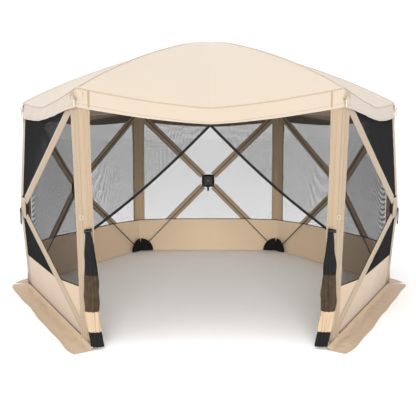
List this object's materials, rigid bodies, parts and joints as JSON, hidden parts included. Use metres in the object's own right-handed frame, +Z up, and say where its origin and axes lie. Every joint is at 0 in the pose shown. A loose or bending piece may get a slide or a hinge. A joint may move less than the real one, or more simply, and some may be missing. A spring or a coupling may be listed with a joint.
{
  "type": "screen house",
  "caption": "Six-sided pop-up screen house: a sewn shell with netting walls and a tied-back door, held up by a folding hub frame.",
  "frame": {"origin": "on the ground, at the middle of the tent's bounding box", "axes": "+Z up, the door faces -Y, +X to the right of someone who looks in at the door"},
  "size_m": [3.9328, 3.4409, 2.3288],
  "materials": {
    "roof_cloth": "coated woven polyester, light tan, satin",
    "strip_cloth": "woven polyester, tan, matt",
    "band_cloth": "woven polyester, darker tan, matt",
    "netting": "black fine-mesh netting",
    "black_trim": "black heavy woven cloth",
    "webbing": "black woven webbing",
    "pole_rod": "black pultruded fibreglass rod with moulded ends",
    "hub_plastic": "black moulded nylon",
    "trim_plastic": "ivory moulded plastic",
    "steel": "zinc-plated steel"
  },
  "bodies": {
    "shell": {"canopy": "roof_cloth", "valance": "roof_cloth", "corner_strips": "strip_cloth", "cross_strips": "strip_cloth", "lower_band": "band_cloth", "ground_flap": "band_cloth", "door_net_left": "netting", "door_net_right": "netting", "corner_patches": "black_trim", "wall_net_front_right": "netting", "wall_net_back_right": "netting", "wall_net_back": "netting", "wall_net_back_left": "netting", "wall_net_front_left": "netting", "door_rings": "steel", "toggles": "trim_plastic"},
    "roof_hub": {"roof_hub": "hub_plastic", "roof_hub_pins": "steel", "roof_pull_strap": "webbing"},
    "roof_pole_front_left": {"roof_pole_front_left": "pole_rod"},
    "roof_pole_front_right": {"roof_pole_front_right": "pole_rod"},
    "roof_pole_right": {"roof_pole_right": "pole_rod"},
    "roof_pole_back_right": {"roof_pole_back_right": "pole_rod"},
    "roof_pole_back_left": {"roof_pole_back_left": "pole_rod"},
    "roof_pole_left": {"roof_pole_left": "pole_rod"},
    "strap_bar_front_right": {"strap_bar_front_right": "steel"},
    "wall_hub_front_right": {"wall_hub_front_right": "hub_plastic", "wall_hub_pins_front_right": "steel"},
    "pole_front_right_upper_left": {"pole_front_right_upper_left": "pole_rod"},
    "pole_front_right_upper_right": {"pole_front_right_upper_right": "pole_rod"},
    "pole_front_right_lower_left": {"pole_front_right_lower_left": "pole_rod"},
    "pole_front_right_lower_right": {"pole_front_right_lower_right": "pole_rod"},
    "strap_bar_back_right": {"strap_bar_back_right": "steel"},
    "wall_hub_back_right": {"wall_hub_back_right": "hub_plastic", "wall_hub_pins_back_right": "steel"},
    "pole_back_right_upper_left": {"pole_back_right_upper_left": "pole_rod"},
    "pole_back_right_upper_right": {"pole_back_right_upper_right": "pole_rod"},
    "pole_back_right_lower_left": {"pole_back_right_lower_left": "pole_rod"},
    "pole_back_right_lower_right": {"pole_back_right_lower_right": "pole_rod"},
    "strap_bar_back": {"strap_bar_back": "steel"},
    "wall_hub_back": {"wall_hub_back": "hub_plastic", "wall_hub_pins_back": "steel"},
    "pole_back_upper_left": {"pole_back_upper_left": "pole_rod"},
    "pole_back_upper_right": {"pole_back_upper_right": "pole_rod"},
    "pole_back_lower_left": {"pole_back_lower_left": "pole_rod"},
    "pole_back_lower_right": {"pole_back_lower_right": "pole_rod"},
    "strap_bar_back_left": {"strap_bar_back_left": "steel"},
    "wall_hub_back_left": {"wall_hub_back_left": "hub_plastic", "wall_hub_pins_back_left": "steel"},
    "pole_back_left_upper_left": {"pole_back_left_upper_left": "pole_rod"},
    "pole_back_left_upper_right": {"pole_back_left_upper_right": "pole_rod"},
    "pole_back_left_lower_left": {"pole_back_left_lower_left": "pole_rod"},
    "pole_back_left_lower_right": {"pole_back_left_lower_right": "pole_rod"},
    "strap_bar_front_left": {"strap_bar_front_left": "steel"},
    "wall_hub_front_left": {"wall_hub_front_left": "hub_plastic", "wall_hub_pins_front_left": "steel"},
    "pole_front_left_upper_left": {"pole_front_left_upper_left": "pole_rod"},
    "pole_front_left_upper_right": {"pole_front_left_upper_right": "pole_rod"},
    "pole_front_left_lower_left": {"pole_front_left_lower_left": "pole_rod"},
    "pole_front_left_lower_right": {"pole_front_left_lower_right": "pole_rod"}
  },
  "joints": [
    {"name": "frame_fold", "type": "slide", "parent": "shell", "child": "roof_hub", "axis": [0, 0, -1], "range_m": [0, 0.335], "deforming": ["canopy", "valance", "corner_strips", "cross_strips", "lower_band", "ground_flap", "door_net_left", "door_net_right", "corner_patches", "wall_net_front_right", "wall_net_back_right", "wall_net_back", "wall_net_back_left", "wall_net_front_left", "door_rings", "toggles"]},
    {"name": "fold_roof_pole_front_left", "type": "hinge", "parent": "roof_hub", "child": "roof_pole_front_left", "pos_m": [-0.0305, -0.05283, 2.285], "axis": [0.866, -0.5, 0], "range_deg": [0, 69.52]},
    {"name": "fold_roof_pole_front_right", "type": "hinge", "parent": "roof_hub", "child": "roof_pole_front_right", "pos_m": [0.0305, -0.05283, 2.285], "axis": [0.866, 0.5, 0], "range_deg": [0, 69.52]},
    {"name": "fold_roof_pole_right", "type": "hinge", "parent": "roof_hub", "child": "roof_pole_right", "pos_m": [0.061, 0, 2.285], "axis": [0, 1, 0], "range_deg": [0, 69.52]},
    {"name": "fold_roof_pole_back_right", "type": "hinge", "parent": "roof_hub", "child": "roof_pole_back_right", "pos_m": [0.0305, 0.05283, 2.285], "axis": [-0.866, 0.5, 0], "range_deg": [0, 69.52]},
    {"name": "fold_roof_pole_back_left", "type": "hinge", "parent": "roof_hub", "child": "roof_pole_back_left", "pos_m": [-0.0305, 0.05283, 2.285], "axis": [-0.866, -0.5, 0], "range_deg": [0, 69.52]},
    {"name": "fold_roof_pole_left", "type": "hinge", "parent": "roof_hub", "child": "roof_pole_left", "pos_m": [-0.061, 0, 2.285], "axis": [0, -1, 0], "range_deg": [0, 69.52]},
    {"name": "swing_front_right", "type": "hinge", "parent": "shell", "child": "strap_bar_front_right", "pos_m": [0.73102, -0.42205, 0.72521], "axis": [-0.5, -0.866, 0], "range_deg": [0, 120]},
    {"name": "tilt_front_right", "type": "hinge", "parent": "strap_bar_front_right", "child": "wall_hub_front_right", "pos_m": [1.48571, -0.85777, 0.885], "axis": [0.5, 0.866, 0], "range_deg": [0, 210]},
    {"name": "fold_front_right_upper_left", "type": "hinge", "parent": "wall_hub_front_right", "child": "pole_front_right_upper_left", "pos_m": [1.46989, -0.88516, 0.91701], "axis": [0.3557, 0.616, 0.7029], "range_deg": [0, 99.1]},
    {"name": "fold_front_right_upper_right", "type": "hinge", "parent": "wall_hub_front_right", "child": "pole_front_right_upper_right", "pos_m": [1.50152, -0.83038, 0.91701], "axis": [0.3557, 0.616, -0.7029], "range_deg": [0, 99.1]},
    {"name": "fold_front_right_lower_left", "type": "hinge", "parent": "wall_hub_front_right", "child": "pole_front_right_lower_left", "pos_m": [1.47014, -0.88473, 0.8525], "axis": [-0.3611, -0.6254, 0.6918], "range_deg": [0, 100.38]},
    {"name": "fold_front_right_lower_right", "type": "hinge", "parent": "wall_hub_front_right", "child": "pole_front_right_lower_right", "pos_m": [1.50156, -0.83031, 0.85307], "axis": [-0.3548, -0.6145, -0.7046], "range_deg": [0, 97.7]},
    {"name": "swing_back_right", "type": "hinge", "parent": "shell", "child": "strap_bar_back_right", "pos_m": [0.73102, 0.42205, 0.72521], "axis": [0.5, -0.866, 0], "range_deg": [0, 120]},
    {"name": "tilt_back_right", "type": "hinge", "parent": "strap_bar_back_right", "child": "wall_hub_back_right", "pos_m": [1.48571, 0.85777, 0.885], "axis": [-0.5, 0.866, 0], "range_deg": [0, 210]},
    {"name": "fold_back_right_upper_left", "type": "hinge", "parent": "wall_hub_back_right", "child": "pole_back_right_upper_left", "pos_m": [1.50152, 0.83038, 0.91701], "axis": [-0.3557, 0.616, 0.7029], "range_deg": [0, 99.1]},
    {"name": "fold_back_right_upper_right", "type": "hinge", "parent": "wall_hub_back_right", "child": "pole_back_right_upper_right", "pos_m": [1.46989, 0.88516, 0.91701], "axis": [-0.3557, 0.616, -0.7029], "range_deg": [0, 99.1]},
    {"name": "fold_back_right_lower_left", "type": "hinge", "parent": "wall_hub_back_right", "child": "pole_back_right_lower_left", "pos_m": [1.50156, 0.83031, 0.85307], "axis": [0.3548, -0.6145, 0.7046], "range_deg": [0, 97.7]},
    {"name": "fold_back_right_lower_right", "type": "hinge", "parent": "wall_hub_back_right", "child": "pole_back_right_lower_right", "pos_m": [1.46985, 0.88523, 0.85307], "axis": [0.3548, -0.6145, -0.7046], "range_deg": [0, 97.7]},
    {"name": "swing_back", "type": "hinge", "parent": "shell", "child": "strap_bar_back", "pos_m": [0, 0.8441, 0.72521], "axis": [1, 0, 0], "range_deg": [0, 120]},
    {"name": "tilt_back", "type": "hinge", "parent": "strap_bar_back", "child": "wall_hub_back", "pos_m": [0, 1.71554, 0.885], "axis": [-1, 0, 0], "range_deg": [0, 210]},
    {"name": "fold_back_upper_left", "type": "hinge", "parent": "wall_hub_back", "child": "pole_back_upper_left", "pos_m": [0.03163, 1.71554, 0.91701], "axis": [-0.7113, 0, 0.7029], "range_deg": [0, 99.1]},
    {"name": "fold_back_upper_right", "type": "hinge", "parent": "wall_hub_back", "child": "pole_back_upper_right", "pos_m": [-0.03163, 1.71554, 0.91701], "axis": [-0.7113, 0, -0.7029], "range_deg": [0, 99.1]},
    {"name": "fold_back_lower_left", "type": "hinge", "parent": "wall_hub_back", "child": "pole_back_lower_left", "pos_m": [0.03171, 1.71554, 0.85307], "axis": [0.7096, 0, 0.7046], "range_deg": [0, 97.7]},
    {"name": "fold_back_lower_right", "type": "hinge", "parent": "wall_hub_back", "child": "pole_back_lower_right", "pos_m": [-0.03171, 1.71554, 0.85307], "axis": [0.7096, 0, -0.7046], "range_deg": [0, 97.7]},
    {"name": "swing_back_left", "type": "hinge", "parent": "shell", "child": "strap_bar_back_left", "pos_m": [-0.73102, 0.42205, 0.72521], "axis": [0.5, 0.866, 0], "range_deg": [0, 120]},
    {"name": "tilt_back_left", "type": "hinge", "parent": "strap_bar_back_left", "child": "wall_hub_back_left", "pos_m": [-1.48571, 0.85777, 0.885], "axis": [-0.5, -0.866, 0], "range_deg": [0, 210]},
    {"name": "fold_back_left_upper_left", "type": "hinge", "parent": "wall_hub_back_left", "child": "pole_back_left_upper_left", "pos_m": [-1.46989, 0.88516, 0.91701], "axis": [-0.3557, -0.616, 0.7029], "range_deg": [0, 99.1]},
    {"name": "fold_back_left_upper_right", "type": "hinge", "parent": "wall_hub_back_left", "child": "pole_back_left_upper_right", "pos_m": [-1.50152, 0.83038, 0.91701], "axis": [-0.3557, -0.616, -0.7029], "range_deg": [0, 99.1]},
    {"name": "fold_back_left_lower_left", "type": "hinge", "parent": "wall_hub_back_left", "child": "pole_back_left_lower_left", "pos_m": [-1.46985, 0.88523, 0.85307], "axis": [0.3548, 0.6145, 0.7046], "range_deg": [0, 97.7]},
    {"name": "fold_back_left_lower_right", "type": "hinge", "parent": "wall_hub_back_left", "child": "pole_back_left_lower_right", "pos_m": [-1.50156, 0.83031, 0.85307], "axis": [0.3548, 0.6145, -0.7046], "range_deg": [0, 97.7]},
    {"name": "swing_front_left", "type": "hinge", "parent": "shell", "child": "strap_bar_front_left", "pos_m": [-0.73102, -0.42205, 0.72521], "axis": [-0.5, 0.866, 0], "range_deg": [0, 120]},
    {"name": "tilt_front_left", "type": "hinge", "parent": "strap_bar_front_left", "child": "wall_hub_front_left", "pos_m": [-1.48571, -0.85777, 0.885], "axis": [0.5, -0.866, 0], "range_deg": [0, 210]},
    {"name": "fold_front_left_upper_left", "type": "hinge", "parent": "wall_hub_front_left", "child": "pole_front_left_upper_left", "pos_m": [-1.50152, -0.83038, 0.91701], "axis": [0.3557, -0.616, 0.7029], "range_deg": [0, 99.1]},
    {"name": "fold_front_left_upper_right", "type": "hinge", "parent": "wall_hub_front_left", "child": "pole_front_left_upper_right", "pos_m": [-1.46989, -0.88516, 0.91701], "axis": [0.3557, -0.616, -0.7029], "range_deg": [0, 99.1]},
    {"name": "fold_front_left_lower_left", "type": "hinge", "parent": "wall_hub_front_left", "child": "pole_front_left_lower_left", "pos_m": [-1.50156, -0.83031, 0.85307], "axis": [-0.3548, 0.6145, 0.7046], "range_deg": [0, 97.7]},
    {"name": "fold_front_left_lower_right", "type": "hinge", "parent": "wall_hub_front_left", "child": "pole_front_left_lower_right", "pos_m": [-1.47014, -0.88473, 0.8525], "axis": [-0.3611, 0.6254, -0.6918], "range_deg": [0, 100.38]}
  ],
  "couplings": [
    {"joint": "fold_roof_pole_front_left", "follows": "frame_fold", "rad_per_m": 3.6221},
    {"joint": "fold_roof_pole_front_right", "follows": "frame_fold", "rad_per_m": 3.6221},
    {"joint": "fold_roof_pole_right", "follows": "frame_fold", "rad_per_m": 3.6221},
    {"joint": "fold_roof_pole_back_right", "follows": "frame_fold", "rad_per_m": 3.6221},
    {"joint": "fold_roof_pole_back_left", "follows": "frame_fold", "rad_per_m": 3.6221},
    {"joint": "fold_roof_pole_left", "follows": "frame_fold", "rad_per_m": 3.6221},
    {"joint": "swing_front_right", "follows": "frame_fold", "rad_per_m": 6.2519},
    {"joint": "tilt_front_right", "follows": "frame_fold", "rad_per_m": 10.941},
    {"joint": "fold_front_right_upper_left", "follows": "frame_fold", "rad_per_m": 5.1633},
    {"joint": "fold_front_right_upper_right", "follows": "frame_fold", "rad_per_m": 5.1633},
    {"joint": "fold_front_right_lower_left", "follows": "frame_fold", "rad_per_m": 5.2299},
    {"joint": "fold_front_right_lower_right", "follows": "frame_fold", "rad_per_m": 5.0899},
    {"joint": "swing_back_right", "follows": "frame_fold", "rad_per_m": 6.2519},
    {"joint": "tilt_back_right", "follows": "frame_fold", "rad_per_m": 10.941},
    {"joint": "fold_back_right_upper_left", "follows": "frame_fold", "rad_per_m": 5.1633},
    {"joint": "fold_back_right_upper_right", "follows": "frame_fold", "rad_per_m": 5.1633},
    {"joint": "fold_back_right_lower_left", "follows": "frame_fold", "rad_per_m": 5.0899},
    {"joint": "fold_back_right_lower_right", "follows": "frame_fold", "rad_per_m": 5.0899},
    {"joint": "swing_back", "follows": "frame_fold", "rad_per_m": 6.2519},
    {"joint": "tilt_back", "follows": "frame_fold", "rad_per_m": 10.941},
    {"joint": "fold_back_upper_left", "follows": "frame_fold", "rad_per_m": 5.1633},
    {"joint": "fold_back_upper_right", "follows": "frame_fold", "rad_per_m": 5.1633},
    {"joint": "fold_back_lower_left", "follows": "frame_fold", "rad_per_m": 5.0899},
    {"joint": "fold_back_lower_right", "follows": "frame_fold", "rad_per_m": 5.0899},
    {"joint": "swing_back_left", "follows": "frame_fold", "rad_per_m": 6.2519},
    {"joint": "tilt_back_left", "follows": "frame_fold", "rad_per_m": 10.941},
    {"joint": "fold_back_left_upper_left", "follows": "frame_fold", "rad_per_m": 5.1633},
    {"joint": "fold_back_left_upper_right", "follows": "frame_fold", "rad_per_m": 5.1633},
    {"joint": "fold_back_left_lower_left", "follows": "frame_fold", "rad_per_m": 5.0899},
    {"joint": "fold_back_left_lower_right", "follows": "frame_fold", "rad_per_m": 5.0899},
    {"joint": "swing_front_left", "follows": "frame_fold", "rad_per_m": 6.2519},
    {"joint": "tilt_front_left", "follows": "frame_fold", "rad_per_m": 10.941},
    {"joint": "fold_front_left_upper_left", "follows": "frame_fold", "rad_per_m": 5.1633},
    {"joint": "fold_front_left_upper_right", "follows": "frame_fold", "rad_per_m": 5.1633},
    {"joint": "fold_front_left_lower_left", "follows": "frame_fold", "rad_per_m": 5.0899},
    {"joint": "fold_front_left_lower_right", "follows": "frame_fold", "rad_per_m": 5.2299}
  ]
}
